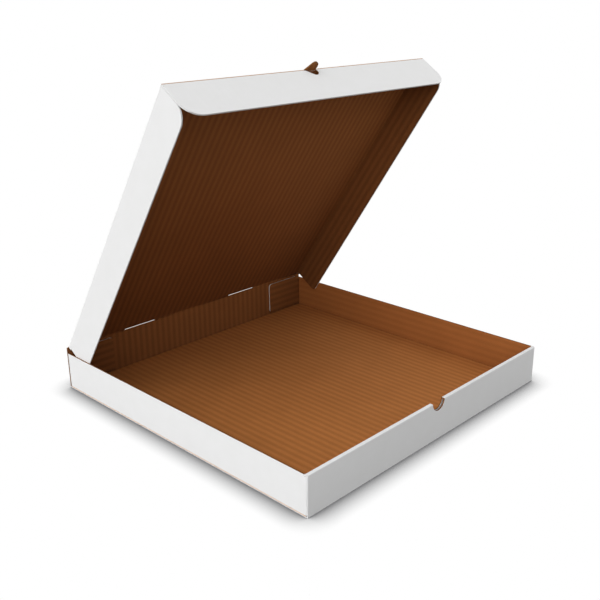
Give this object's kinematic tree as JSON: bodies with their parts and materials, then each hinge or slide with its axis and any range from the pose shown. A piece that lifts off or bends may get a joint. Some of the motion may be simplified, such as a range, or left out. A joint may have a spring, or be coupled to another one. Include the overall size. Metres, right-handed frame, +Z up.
{
  "type": "pizza box",
  "caption": "Shallow square pizza box of corrugated board, white outside and brown inside, with a double front wall, a thumb notch and a hinged lid with a heart-shaped pull tab.",
  "frame": {"origin": "centre of the tray's footprint, on the table", "axes": "+X to the right along the hinge crease, +Y from the front wall to the hinge, +Z up"},
  "size_m": [0.4, 0.402, 0.3837],
  "materials": {
    "tray_board": "matt white liner outside, brown kraft liner inside",
    "lid_board": "matt white liner outside, brown kraft liner inside"
  },
  "bodies": {
    "tray": {"tray": "tray_board"},
    "lid": {"lid": "lid_board"}
  },
  "joints": [
    {"name": "lid_hinge", "type": "hinge", "parent": "tray", "child": "lid", "pos_m": [0, 0.2003, 0.0515], "axis": [-1, 0, 0], "range_deg": [-56.4, 124.1]}
  ]
}
